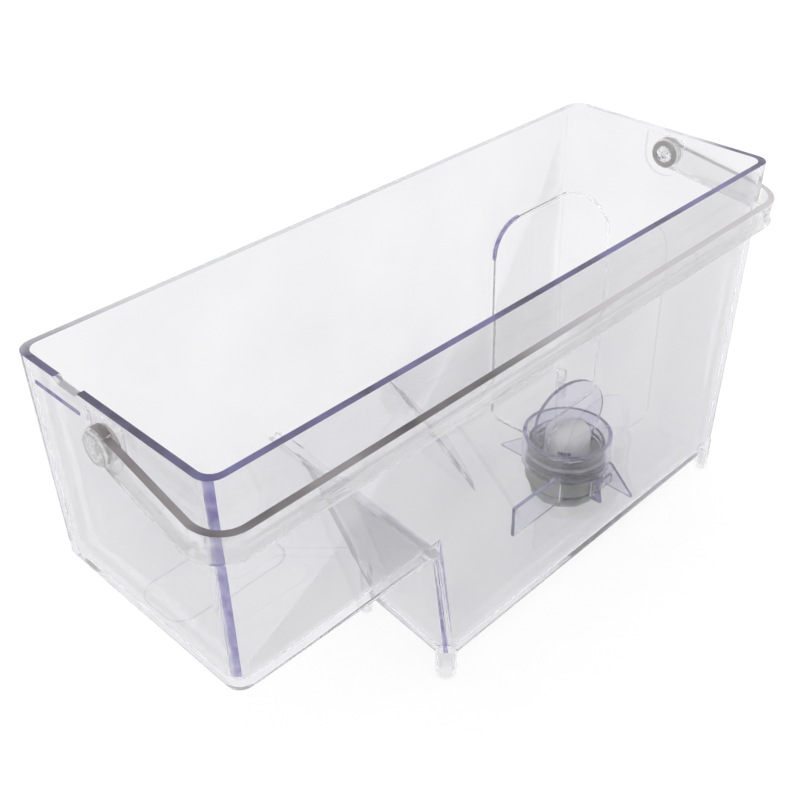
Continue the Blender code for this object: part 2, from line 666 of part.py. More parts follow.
def build_poppet():
    """Poppet with its face seal, spring and bridge; the spring closes it downwards on the seat."""
    seal_bottom = SEAT_HEIGHT + GAP
    seal_top = seal_bottom + SEAL_THICKNESS * 0.8
    disc_bottom = seal_top + GAP
    disc_top = disc_bottom + POPPET_THICKNESS
    poppet = [
        (0.0, STEM_TOP),
        (STEM_RADIUS, STEM_TOP),
        (STEM_RADIUS, disc_top),
        (POPPET_RADIUS, disc_top),
        (POPPET_RADIUS, disc_bottom),
        (STEM_RADIUS * 1.5, disc_bottom),
        (STEM_RADIUS, STEM_BOTTOM),
        (0.0, STEM_BOTTOM),
    ]
    turned("valve_poppet", poppet, steps=SMALL_STEPS, location=valve_at, finish=finishes["white"])
    seal = ring_profile(BORE_RADIUS + GAP, POPPET_RADIUS - GAP, seal_bottom, seal_top)
    turned("poppet_seal", seal, closed=True, steps=SMALL_STEPS, location=valve_at, finish=finishes["rubber"])

    bridge_bottom = BRIDGE_SEAT + GAP
    bridge_top = bridge_bottom + BRIDGE_THICKNESS
    disc = ring_profile(STEM_RADIUS + RUN, BRIDGE_RADIUS - GAP, bridge_bottom, bridge_top)
    bridge = turned("spring_bridge", disc, closed=True, steps=36, location=valve_at, finish=finishes["white"])
    window_radius = 0.0026
    window_ring = SPRING_RADIUS + SPRING_WIRE + window_radius
    for number in range(4):
        angle = math.pi / 4 + math.pi / 2 * number
        offset = Vector((math.cos(angle), math.sin(angle), 0)) * window_ring
        window = cylinder_mesh(f"bridge_window_{number}", window_radius, 0, HOUSING_TOP + OVERCUT, steps=16)
        window = adopt(window, f"bridge_window_{number}", Vector(valve_at) + offset, cutter=True)
        boolean(bridge, window, "DIFFERENCE")

    low = disc_top + GAP + SPRING_WIRE
    high = bridge_bottom - GAP - SPRING_WIRE
    coil = bpy.data.curves.new("return_spring", "CURVE")
    coil.dimensions = "3D"
    coil.bevel_depth = SPRING_WIRE
    coil.bevel_resolution = 2
    coil.use_fill_caps = True
    coil.materials.append(finishes["steel"])
    per_turn = 14
    count = SPRING_TURNS * per_turn + 1
    line = coil.splines.new("POLY")
    line.points.add(count - 1)
    for i, point in enumerate(line.points):
        angle = math.tau * i / per_turn
        share = min(max((i - per_turn / 2) / (count - 1 - per_turn), 0.0), 1.0)
        rise = low + (high - low) * share
        point.co = (SPRING_RADIUS * math.cos(angle), SPRING_RADIUS * math.sin(angle), rise, 1.0)
    spring = bpy.data.objects.new("return_spring", coil)
    parts.objects.link(spring)
    spring.parent = datum
    spring.location = valve_at


def plate(name, corners, thickness, direction):
    """Flat plate: corner points of its middle face, spread by half its thickness along a direction."""
    bm = bmesh.new()
    half = Vector(direction) * thickness / 2
    bm.faces.new([bm.verts.new(Vector(corner) - half) for corner in corners])
    grown = bmesh.ops.extrude_face_region(bm, geom=bm.faces[:])
    moved = [element for element in grown["geom"] if isinstance(element, bmesh.types.BMVert)]
    bmesh.ops.translate(bm, verts=moved, vec=half * 2)
    return adopt(mesh_of(bm, name), name, valve_at, cutter=True)


def build_collar(finish):
    """Clear collar: ring with an inner flange, one long fin, three gussets and a tie between two of them."""
    bottom = BASE_TOP + GAP
    inner = COLLAR_RADIUS - COLLAR_WALL
    flange_inner = SPIGOT_RADIUS + GAP
    profile = [
        (inner, COLLAR_TOP),
        (COLLAR_RADIUS, COLLAR_TOP),
        (COLLAR_RADIUS, bottom),
        (flange_inner, bottom),
        (flange_inner, bottom + COLLAR_FLANGE),
        (inner, bottom + COLLAR_FLANGE),
    ]
    collar = turned("valve_collar", profile, closed=True, location=valve_at, finish=finish)
    grip = COLLAR_RADIUS - COLLAR_WALL / 2  # fins bite half-way into the ring's wall
    outside = BASE_RADIUS + GAP  # below the ring they stay clear of the base
    root = bottom + COLLAR_FLANGE * 1.5
    floor = GAP

    def depth_at(radius, offset):
        return math.sqrt(radius * radius - offset * offset)

    half = FIN_THICKNESS / 2
    near_low = depth_at(outside, FIN_OFFSET - half) + GAP
    near_high = depth_at(grip, FIN_OFFSET)
    fin = plate(
        "long_fin",
        [
            (-near_low, -FIN_OFFSET, floor),
            (-near_low, -FIN_OFFSET, bottom),
            (-near_high, -FIN_OFFSET, bottom),
            (-near_high, -FIN_OFFSET, FIN_HEIGHT),
            (-FIN_REACH, -FIN_OFFSET, FIN_HEIGHT),
            (-FIN_REACH, -FIN_OFFSET, floor),
        ],
        FIN_THICKNESS,
        (0, 1, 0),
    )
    boolean(collar, fin, "UNION")
    # (name, x of the gusset's plane, side of the ring, reach from the valve's axis)
    gussets = [
        ("gusset_front_right", 0.010, -1, 0.036),
        ("gusset_front_left", -0.0048, -1, 0.0275),
        ("gusset_back", -0.002, 1, 0.041),
    ]
    for name, x, side, reach in gussets:
        near_low = depth_at(outside, abs(x) - half) + GAP
        near_high = depth_at(grip, x)
        web = plate(
            name,
            [
                (x, side * near_low, floor),
                (x, side * near_low, bottom - GAP),
                (x, side * near_high, bottom - GAP),
                (x, side * near_high, root),
                (x, side * (near_high + 0.003), root - 0.001),
                (x, side * reach, floor + 0.001),
                (x, side * reach, floor),
            ],
            FIN_THICKNESS * 0.8,
            (1, 0, 0),
        )
        boolean(collar, web, "UNION")
    tie_y = -(BASE_RADIUS + GAP + FIN_THICKNESS)
    tie = plate(
        "gusset_tie",
        [(-0.0048, tie_y, 0.004), (0.010, tie_y, 0.004), (0.010, tie_y, 0.0095), (-0.0048, tie_y, 0.0095)],
        FIN_THICKNESS * 0.7,
        (0, 1, 0),
    )
    boolean(collar, tie, "UNION")
    seal_bottom = bottom + COLLAR_FLANGE + GAP
    seal = ring_profile(flange_inner, inner - GAP, seal_bottom, seal_bottom + SEAL_THICKNESS)
    turned("collar_seal", seal, closed=True, location=valve_at, finish=finishes["rubber"])
    return collar


def build_insert(finish):
    """Turning insert: base plate with a ring, and the round finger grip on two posts."""
    bore = COLLAR_RADIUS - COLLAR_WALL
    plate_radius = bore - GAP
    ring_outer = plate_radius - SEAL_THICKNESS + GAP
    ring_inner = ring_outer - INSERT_WALL
    opening = DOME_RADIUS - DOME_WALL - SLEEVE_WALL - 0.001
    plate_top = INSERT_BASE + INSERT_PLATE
    profile = [
        (ring_inner, INSERT_RING_TOP),
        (ring_outer, INSERT_RING_TOP),
        (ring_outer, plate_top),
        (plate_radius, plate_top),
        (plate_radius, INSERT_BASE),
        (opening, INSERT_BASE),
        (opening, plate_top),
        (ring_inner, plate_top),
    ]
    insert = turned("filter_grip", profile, closed=True, location=valve_at, finish=finish)
    turn = Matrix.Rotation(GRIP_TURN, 4, "Z")

    disc = cylinder_mesh("grip_disc", GRIP_RADIUS, -GRIP_THICKNESS / 2, GRIP_THICKNESS / 2, axis="X", steps=72)
    centre = Matrix.Translation((0, 0, GRIP_CENTRE))
    disc.transform(turn @ centre @ Matrix.Rotation(math.pi / 2, 4, "Z"))
    boolean(insert, adopt(disc, "grip_disc", valve_at, cutter=True), "UNION")
    post_inner = DOME_RADIUS + GAP
    post_outer = ring_inner - INSERT_WALL
    for side in (-1, 1):
        low = (min(side * post_inner, side * post_outer), -GRIP_THICKNESS * 0.45, plate_top - INSERT_PLATE / 2)
        high = (max(side * post_inner, side * post_outer), GRIP_THICKNESS * 0.45, INSERT_RING_TOP + 0.004)
        name = f"grip_post_{'left' if side < 0 else 'right'}"
        post = box_mesh(name, low, high)
        post.transform(turn)
        boolean(insert, adopt(post, name, valve_at, cutter=True), "UNION")
    window = [(0.0, DOME_TOP + GAP)]
    window += dome_arc(DOME_RADIUS + GAP, DOME_TOP + GAP)[1:]
    window += [(DOME_RADIUS + GAP, plate_top), (opening / 2, plate_top)]
    window += [(opening / 2, INSERT_BASE - GAP), (0.0, INSERT_BASE - GAP)]
    boolean(insert, turned("dome_room", window, location=valve_at, cutter=True), "DIFFERENCE")

    band = ring_profile(ring_outer + GAP / 2, plate_radius, plate_top + GAP, plate_top + GAP + SEAL_THICKNESS)
    turned("insert_seal", band, closed=True, location=valve_at, finish=finishes["rubber"])
    return insert


def dome_arc(radius, top):
    """Quarter of an ellipse from the dome's crown down to its side."""
    return arc_points((0.0, top - DOME_CAP), (-radius, DOME_CAP), -math.pi * 1.5, -math.pi, 8)


def build_strainer():
    """White dome with four inlet windows at its foot, over a fine sleeve."""
    outer = dome_arc(DOME_RADIUS, DOME_TOP)
    inner = dome_arc(DOME_RADIUS - DOME_WALL, DOME_TOP - DOME_WALL)
    profile = outer + [(DOME_RADIUS, DOME_BASE), (DOME_RADIUS - DOME_WALL, DOME_BASE)] + inner[::-1]
    profile = [(abs(radius), height) for radius, height in profile]
    dome = turned("strainer_dome", profile, steps=40, location=valve_at, finish=finishes["white"])
    window_width = 0.007
    low_z = DOME_BASE + 0.0015
    for number, (reach_x, reach_y) in enumerate(((0.02, window_width / 2), (window_width / 2, 0.02)), 1):
        name = f"inlet_windows_{number}"
        cutter = box_mesh(name, (-reach_x, -reach_y, low_z), (reach_x, reach_y, low_z + 0.004))
        cutter.transform(Matrix.Rotation(GRIP_TURN + math.pi / 4, 4, "Z"))
        boolean(dome, adopt(cutter, name, valve_at, cutter=True), "DIFFERENCE")
    sleeve_outer = DOME_RADIUS - DOME_WALL - GAP
    sleeve = ring_profile(sleeve_outer - SLEEVE_WALL, sleeve_outer, DOME_BASE, SLEEVE_TOP - DOME_WALL)
    turned("strainer_sleeve", sleeve, closed=True, steps=40, location=valve_at, finish=finishes["steel"])


# ---- build ----
for leftover in list(bpy.data.objects):
    bpy.data.objects.remove(leftover)
parts = fresh_collection("fresh_water_tank")
cutters = fresh_collection("cutters")
datum = bpy.data.objects.new("tank_datum", None)
parts.objects.link(datum)
datum.location = DATUM
valve_at = (VALVE_X, VALVE_Y, FLOOR)

finishes = {
    "tank": material("clear_tank", (0.86, 0.88, 0.91), 0.05, transmission=0.9),
    "handle": material("clear_handle", (0.84, 0.84, 0.83), 0.08, transmission=0.85),
    "valve_clear": material("clear_valve", (0.80, 0.80, 0.90), 0.08, transmission=0.85),
    "grey": material("grey_housing", (0.24, 0.25, 0.22), 0.45),
    "white": material("white_strainer", (0.80, 0.80, 0.80), 0.4),
    "washer": material("natural_washer", (0.75, 0.74, 0.70), 0.35),
    "rubber": material("seal_rubber", (0.05, 0.05, 0.05), 0.7),
    "steel": material("spring_steel", (0.62, 0.62, 0.62), 0.25, metallic=1.0),
}

build_tank(finishes["tank"])
build_handle(finishes["handle"])
build_pivots(finishes["handle"], finishes["washer"])
build_housing(finishes["grey"])
build_fixings()
build_poppet()
build_collar(finishes["valve_clear"])
build_insert(finishes["valve_clear"])
build_strainer()

for thing in parts.objects:
    if thing.type == "MESH":
        thing.data.shade_smooth()
        thing.data.set_sharp_from_angle(angle=math.radians(35))
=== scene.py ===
import math

import bmesh
import bpy
import numpy as np
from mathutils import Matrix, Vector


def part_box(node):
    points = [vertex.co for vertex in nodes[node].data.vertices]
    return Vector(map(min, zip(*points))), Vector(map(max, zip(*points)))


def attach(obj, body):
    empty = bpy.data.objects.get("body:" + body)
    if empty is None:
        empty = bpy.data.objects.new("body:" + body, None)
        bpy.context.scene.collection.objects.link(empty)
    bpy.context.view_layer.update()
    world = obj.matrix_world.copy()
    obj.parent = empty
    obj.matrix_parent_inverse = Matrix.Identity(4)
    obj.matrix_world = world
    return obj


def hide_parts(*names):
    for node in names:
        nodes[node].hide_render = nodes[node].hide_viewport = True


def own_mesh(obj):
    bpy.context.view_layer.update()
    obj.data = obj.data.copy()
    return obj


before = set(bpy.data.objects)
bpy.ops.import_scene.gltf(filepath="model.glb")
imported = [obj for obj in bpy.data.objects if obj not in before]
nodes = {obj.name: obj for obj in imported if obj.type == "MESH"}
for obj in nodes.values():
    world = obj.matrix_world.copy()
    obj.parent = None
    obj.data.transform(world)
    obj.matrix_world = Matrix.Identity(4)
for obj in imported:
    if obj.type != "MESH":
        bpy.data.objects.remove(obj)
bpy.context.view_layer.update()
print("frame loaded:", len(nodes), "nodes")


def hexColour(code):
    # sRGB hex to linear: below 0.04045 a straight line, above it a 2.4 power
    srgb = np.array([int(code[i:i + 2], 16) / 255 for i in (0, 2, 4)])
    linear = np.where(srgb <= 0.04045, srgb / 12.92, ((srgb + 0.055) / 1.055) ** 2.4)
    return (*linear.tolist(), 1.0)


def addNode(tree, kind, settings=None, inputs=None, links=None):
    # one node with its properties, socket values and incoming links
    node = tree.nodes.new(kind)
    for key, value in (settings or {}).items():
        setattr(node, key, value)
    for key, value in (inputs or {}).items():
        node.inputs[key].default_value = value
    for key, source in (links or {}).items():
        tree.links.new(source, node.inputs[key])
    return node


def newMaterial(name):
    material = bpy.data.materials.new(name)
    material.use_nodes = True
    tree = material.node_tree
    shader = tree.nodes["Principled BSDF"]
    return material, tree, shader


def millimetreNoise(tree, sizeMm, detail=2.0, rough=0.5):
    # noise on object coordinates whose blobs are about sizeMm across
    place = addNode(tree, "ShaderNodeTexCoord")
    return addNode(
        tree,
        "ShaderNodeTexNoise",
        inputs={"Scale": 1000.0 / sizeMm, "Detail": detail, "Roughness": rough},
        links={"Vector": place.outputs["Object"]},
    )


def ramp(tree, source, low, high, fromLow=0.35, fromHigh=0.65):
    return addNode(
        tree,
        "ShaderNodeMapRange",
        inputs={"From Min": fromLow, "From Max": fromHigh, "To Min": low, "To Max": high},
        links={"Value": source},
    )


def mixColours(tree, factor, colourA, colourB):
    mix = addNode(tree, "ShaderNodeMix", settings={"data_type": "RGBA"}, links={0: factor})
    mix.inputs[6].default_value = hexColour(colourA)
    mix.inputs[7].default_value = hexColour(colourB)
    return mix.outputs[2]


def coverSurface(tree, shader, tint, pattern, rough, relief, bump):
    # base colour from a tint, roughness between two values by one noise, and bump from another;
    # bump is its strength and its depth in metres
    tree.links.new(tint, shader.inputs["Base Color"])
    polish = ramp(tree, pattern.outputs["Fac"], *rough)
    tree.links.new(polish.outputs[0], shader.inputs["Roughness"])
    raised = addNode(
        tree,
        "ShaderNodeBump",
        inputs={"Strength": bump[0], "Distance": bump[1]},
        links={"Height": relief.outputs["Fac"]},
    )
    tree.links.new(raised.outputs["Normal"], shader.inputs["Normal"])


def clearPlastic(name, look):
    # clear styrene copolymer, polished mould: sharp reflections, faint flow waves,
    # a cool body colour that only shows where light runs a long way inside the wall;
    # below 1, cover lets the rest of the light straight through, unbent, as a thin flat wall does
    material, tree, shader = newMaterial(name)
    smudge = millimetreNoise(tree, look["smudgeMm"], detail=3)
    wave = millimetreNoise(tree, look["waveMm"], detail=1)
    cloud = ramp(tree, smudge.outputs["Fac"], 0, 1)
    tint = mixColours(tree, cloud.outputs[0], look["tintA"], look["tintB"])
    rough = (look["roughLow"], look["roughHigh"])
    coverSurface(tree, shader, tint, smudge, rough, wave, (look["waveStrength"], look["waveDepth"]))
    shader.inputs["Transmission Weight"].default_value = 1.0
    shader.inputs["IOR"].default_value = look["ior"]
    shader.inputs["Alpha"].default_value = look["cover"]
    absorb = addNode(tree, "ShaderNodeVolumeAbsorption", inputs={"Density": look["density"]})
    absorb.inputs["Color"].default_value = hexColour(look["deep"])
    tree.links.new(absorb.outputs[0], tree.nodes["Material Output"].inputs["Volume"])
    return material


tankLook = {
    "smudgeMm": 60, "waveMm": 45, "waveStrength": 0.06, "waveDepth": 0.0002,
    "roughLow": 0.0, "roughHigh": 0.01, "tintA": "EFEFF0", "tintB": "EAEAEC", "ior": 1.2,
    "deep": "9D92D0", "density": 4.0, "cover": 0.85,
}
valveLook = dict(
    tankLook, smudgeMm=14, waveMm=10, density=18.0, deep="9C90DC", roughHigh=0.02, ior=1.35, cover=1.0,
    tintA="F3F2F8", tintB="EDECF4",
)
handleLook = dict(
    tankLook, smudgeMm=25, waveMm=18, density=7.0, deep="B0A6B8", ior=1.42, cover=0.75,
    tintA="F4F4F4", tintB="EEEEEE",
)
clearTank = clearPlastic("clearStyreneMoulded", tankLook)
clearValve = clearPlastic("clearStyreneValveMoulded", valveLook)
clearHandle = clearPlastic("clearStyreneHandleMoulded", handleLook)

endOnLook = {"rough": (0.05, 0.12), "bump": (0.05, 0.0002), "ior": 1.45}


def paintedEdgeShade(name, look):
    # the same plastic where a wall is seen end-on: light has run down the whole wall, so the face looks dark
    # violet;
    # here that dark violet is painted shade in the base colour, with lighter painted streaks along it and a
    # polished skin;
    # with a fade, the painted shade clears across a band of the tank measured along a slanted line
    material, tree, shader = newMaterial(name)
    streak = millimetreNoise(tree, look["streakMm"], detail=2)
    share = ramp(tree, streak.outputs["Fac"], 0, 1)
    tint = mixColours(tree, share.outputs[0], look["colourA"], look["colourB"])
    if look.get("fade"):
        start, end, lengthShare = look["fade"]
        place = addNode(tree, "ShaderNodeTexCoord")
        parts = addNode(tree, "ShaderNodeSeparateXYZ", links={0: place.outputs["Object"]})
        along = addNode(
            tree,
            "ShaderNodeMath",
            settings={"operation": "MULTIPLY_ADD"},
            inputs={1: lengthShare},
            links={0: parts.outputs["X"], 2: parts.outputs["Y"]},
        )
        cleared = ramp(tree, along.outputs[0], 0, 1, start, end)
        mix = addNode(
            tree, "ShaderNodeMix", settings={"data_type": "RGBA"}, links={0: cleared.outputs[0], 6: tint}
        )
        mix.inputs[7].default_value = hexColour(look["cleared"])
        tint = mix.outputs[2]
    coverSurface(tree, shader, tint, streak, endOnLook["rough"], streak, endOnLook["bump"])
    shader.inputs["Transmission Weight"].default_value = look["clear"]
    shader.inputs["IOR"].default_value = endOnLook["ior"]
    return material


# painted dark violet shade for the wall tops seen end-on, with lighter painted streaks, clearing to near
# white across a slanted band
rimPaintedShade = paintedEdgeShade("clearStyreneEdgeOnPaintedShade", {
    "streakMm": 22, "colourA": "443F5C", "colourB": "6F689F", "clear": 0.35,
    "fade": (0.010, 0.032, 0.25), "cleared": "EFEFF2",
})
# painted dark grey shade for the handle's upward faces, clearing to pale grey across a slanted band
handleTopPaintedShade = paintedEdgeShade("clearStyreneHandleEdgeOnPaintedShade", {
    "streakMm": 40, "colourA": "2E2A29", "colourB": "8F898B", "clear": 0.25,
    "fade": (-0.11, -0.03, 1.0), "cleared": "CFCBCE",
})
# painted violet shade, with lighter painted streaks, for corners and edges of clear plastic seen end-on
violetPaintedEdgeShade = paintedEdgeShade("clearStyreneCornerEdgeOnPaintedShade", {
    "streakMm": 6, "colourA": "6C62A8", "colourB": "A9A2D6", "clear": 0.55,
})
# painted pale violet shade, with lighter painted streaks, for ribs and edges of clear plastic seen end-on
palePaintedEdgeShade = paintedEdgeShade("clearStyreneRibEdgeOnPaintedShade", {
    "streakMm": 4, "colourA": "8A82BE", "colourB": "C3BEE0", "clear": 0.6,
})

grainLook = {"depth": 0.0001, "ior": 1.5, "glowReach": (0.002, 0.002, 0.002)}


def mouldedPlastic(name, look):
    # opaque or milky plastic or rubber from a spark-eroded mould: soft gloss over a fine grain
    material, tree, shader = newMaterial(name)
    cloud = millimetreNoise(tree, look["cloudMm"], detail=3)
    grain = millimetreNoise(tree, look["grainMm"], detail=2)
    share = ramp(tree, cloud.outputs["Fac"], 0, 1)
    tint = mixColours(tree, share.outputs[0], look["colourA"], look["colourB"])
    rough = (look["roughLow"], look["roughHigh"])
    coverSurface(tree, shader, tint, cloud, rough, grain, (look["grain"], grainLook["depth"]))
    shader.inputs["IOR"].default_value = grainLook["ior"]
    shader.inputs["Subsurface Weight"].default_value = look.get("milky", 0.0)
    shader.inputs["Subsurface Radius"].default_value = grainLook["glowReach"]
    return material


greyHousing = mouldedPlastic("greyNylonMoulded", {
    "cloudMm": 9, "grainMm": 0.5, "grain": 0.25, "colourA": "8E918A", "colourB": "83867F",
    "roughLow": 0.42, "roughHigh": 0.52,
})
whiteStrainer = mouldedPlastic("whitePolypropyleneMoulded", {
    "cloudMm": 7, "grainMm": 0.6, "grain": 0.15, "colourA": "F1EFF0", "colourB": "E8E6E8",
    "roughLow": 0.36, "roughHigh": 0.46, "milky": 0.15,
})
naturalWasher = mouldedPlastic("naturalAcetalMoulded", {
    "cloudMm": 5, "grainMm": 0.5, "grain": 0.1, "colourA": "E9E7E2", "colourB": "DEDBD4",
    "roughLow": 0.3, "roughHigh": 0.4, "milky": 0.1,
})
paleSilicone = mouldedPlastic("paleSiliconeMoulded", {
    "cloudMm": 4, "grainMm": 0.4, "grain": 0.1, "colourA": "E4E3E8", "colourB": "D8D7DE",
    "roughLow": 0.35, "roughHigh": 0.45, "milky": 0.3,
})
sealRubber = mouldedPlastic("nitrileRubberMoulded", {
    "cloudMm": 4, "grainMm": 0.4, "grain": 0.3, "colourA": "2B2B2D", "colourB": "1F1F21",
    "roughLow": 0.6, "roughHigh": 0.75,
})


def drawnSteel(name, look):
    # stainless wire drawn through a die, or a thin rolled strip: bright, faint lines
    material, tree, shader = newMaterial(name)
    cloud = millimetreNoise(tree, look["lineMm"], detail=3)
    share = ramp(tree, cloud.outputs["Fac"], 0, 1)
    tint = mixColours(tree, share.outputs[0], look["colourA"], look["colourB"])
    coverSurface(tree, shader, tint, cloud, (look["roughLow"], look["roughHigh"]), cloud, look["bump"])
    shader.inputs["Metallic"].default_value = 1.0
    return material


springSteel = drawnSteel("stainlessSteelDrawn", {
    "lineMm": 0.8, "colourA": "C9C9C8", "colourB": "B9B9B8", "roughLow": 0.2, "roughHigh": 0.32,
    "bump": (0.1, 0.00005),
})
print("materials ready")

ruleLook = {
    "levelReach": 0.0002,  # how near a level counts as on it
    "upShare": 0.8,  # upward share of a direction that counts as up
    "facingShare": 0.97,  # cosine of about 14 degrees
    "acrossShare": 0.5,  # share along an axis below which a face looks across it
}


def faceFacts(data):
    # centre, outward direction and area of every face
    count = len(data.polygons)
    centres = np.zeros(count * 3)
    normals = np.zeros(count * 3)
    areas = np.zeros(count)
    data.polygons.foreach_get("center", centres)
    data.polygons.foreach_get("normal", normals)
    data.polygons.foreach_get("area", areas)
    return centres.reshape(-1, 3), normals.reshape(-1, 3), areas


def paintFaces(data, material, rule):
    # the faces that the rule picks take the material
    data.materials.append(material)
    hit = rule(*faceFacts(data))
    slots = np.zeros(len(data.polygons), np.int32)
    data.polygons.foreach_get("material_index", slots)
    painted = np.where(hit, len(data.materials) - 1, slots)
    data.polygons.foreach_set("material_index", painted.astype(np.int32))


def lookingUp(level=None):
    # faces that look up, at a level if one is given
    def rule(centres, normals, areas):
        near = True if level is None else np.abs(centres[:, 2] - level) < ruleLook["levelReach"]
        return (normals[:, 2] > ruleLook["upShare"]) & near
    return rule


def inBox(centres, low, high):
    return ((centres > np.array(low)) & (centres < np.array(high))).all(1)


def alongAxis(normals, axis):
    # the share of each direction that runs along an axis
    return normals @ (np.array(axis) / np.linalg.norm(axis))


def facing(direction, low, high):
    # faces inside a box that look along a direction
    def rule(centres, normals, areas):
        return inBox(centres, low, high) & (alongAxis(normals, direction) > ruleLook["facingShare"])
    return rule


def sideOn(axis, low, high):
    # faces inside a box that look across an axis
    def rule(centres, normals, areas):
        return inBox(centres, low, high) & (np.abs(alongAxis(normals, axis)) < ruleLook["acrossShare"])
    return rule


def narrowOutside(centre, radius, largest):
    # small faces further than a radius from an upright axis
    def rule(centres, normals, areas):
        away = np.hypot(centres[:, 0] - centre.x, centres[:, 1] - centre.y)
        return (away > radius) & (areas < largest)
    return rule


softLook = {
    "merge": 0.000002,  # points closer than this become one
    "flatDegrees": 0.4,  # faces that differ less than this are one flat area
    "sharpDegrees": 34,  # edges sharper than this are rounded and stay crisp
    "segments": 2,
}


def softened(nodeName, pieceName, body, material, look):
    # a copy of the solid: its points merged, flat areas joined, edges rounded a little,
    # round areas shaded round and flat areas kept flat by weighting each normal with its face's size
    sharp = math.radians(look.get("sharp", softLook["sharpDegrees"]))
    mesh = bmesh.new()
    mesh.from_mesh(nodes[nodeName].data)
    bmesh.ops.remove_doubles(mesh, verts=mesh.verts[:], dist=softLook["merge"])
    bmesh.ops.dissolve_limit(
        mesh,
        angle_limit=math.radians(softLook["flatDegrees"]),
        verts=mesh.verts[:],
        edges=mesh.edges[:],
        delimit={"NORMAL"},
    )
    for face in mesh.faces:
        face.smooth = True
    data = bpy.data.meshes.new(pieceName)
    mesh.to_mesh(data)
    mesh.free()
    data.materials.append(material)
    data.set_sharp_from_angle(angle=sharp)
    for paint, rule in look.get("painted", []):
        paintFaces(data, paint, rule)
    piece = bpy.data.objects.new(pieceName, data)
    bpy.context.scene.collection.objects.link(piece)
    if look.get("edge"):
        bevel = piece.modifiers.new("edges", "BEVEL")
        bevel.width = look["edge"]
        bevel.segments = look.get("segments", softLook["segments"])
        bevel.limit_method = "ANGLE"
        bevel.angle_limit = sharp
        bevel.miter_outer = "MITER_ARC"
    weighted = piece.modifiers.new("normals", "WEIGHTED_NORMAL")
    weighted.keep_sharp = True
    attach(piece, body)
    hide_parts(nodeName)
    return piece


tankLow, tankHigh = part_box("tank_body")
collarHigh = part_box("valve_collar")[1]
gripLow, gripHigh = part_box("filter_grip")
valveCentre = (gripLow + gripHigh) / 2
boreRadius = (gripHigh.x - gripLow.x) / 2
# places along the tank are counted from the outer face of the left pivot boss
edgeLook = {
    "bossStand": 0.0037,  # how far each pivot boss stands out past its end wall
    "cornerTurn": (1.6, 1, 0),  # the way the inside of the front left corner faces
    "cornerBand": 0.012,  # how far a box round a corner reaches along each wall
    "stepSpread": 1.5,  # the step wall leans, so the box round its corner is this much wider
    "shallowHeight": 0.098,  # rim down to just under the top of the shallow floor
    "footHeight": 0.016,  # feet and the deep floor's rounding
    "stepPlace": 0.110,  # to about the step wall's front corner
    "archFrom": 0.235,  # to well before the relief panel's left edge
    "archTo": 0.288,  # to past the curve at the panel's top left
    "archDepth": 0.012,  # back wall's outer face inwards, past the set-in panel
    "archLow": 0.085,  # foot tips up to where the panel's edge starts to show its painted pale shade
    "archTopGap": 0.02,  # rim down to above the panel's top
    "discTurn": (-0.267, -0.964, 0.0),  # the way the grip disc faces
    "spare": 0.01,  # how far a box runs past the piece it holds
    "finEdge": 0.00006,  # faces smaller than this, in square metres, outside the ring are a fin's edges
    "ringWall": 0.0025,  # the ring's bore to just past its outside
}
stepX = tankLow.x + edgeLook["stepPlace"]
wallX = tankLow.x + edgeLook["bossStand"]
reach = edgeLook["cornerBand"] * edgeLook["stepSpread"]
leftCorner = facing(
    edgeLook["cornerTurn"],
    (tankLow.x, tankLow.y, tankHigh.z - edgeLook["shallowHeight"]),
    (tankLow.x + edgeLook["cornerBand"], tankLow.y + edgeLook["cornerBand"], tankHigh.z),
)
stepCorner = [
    facing(
        direction,
        (stepX - edgeLook["cornerBand"], tankLow.y, tankLow.z + edgeLook["footHeight"]),
        (stepX + reach, tankLow.y + reach, tankHigh.z - edgeLook["shallowHeight"]),
    )
    for direction in [(1, 1, 0), (-1, -1, 0)]  # its inside and its outside
]
archEdge = sideOn(
    (0, 1, 0),
    (tankLow.x + edgeLook["archFrom"], tankHigh.y - edgeLook["archDepth"], tankLow.z + edgeLook["archLow"]),
    (tankLow.x + edgeLook["archTo"], tankHigh.y, tankHigh.z - edgeLook["archTopGap"]),
)
discEdge = sideOn(
    edgeLook["discTurn"],
    (gripLow.x, gripLow.y, collarHigh.z),
    (gripHigh.x, gripHigh.y, gripHigh.z + edgeLook["spare"]),
)
finEdges = narrowOutside(valveCentre, boreRadius + edgeLook["ringWall"], edgeLook["finEdge"])
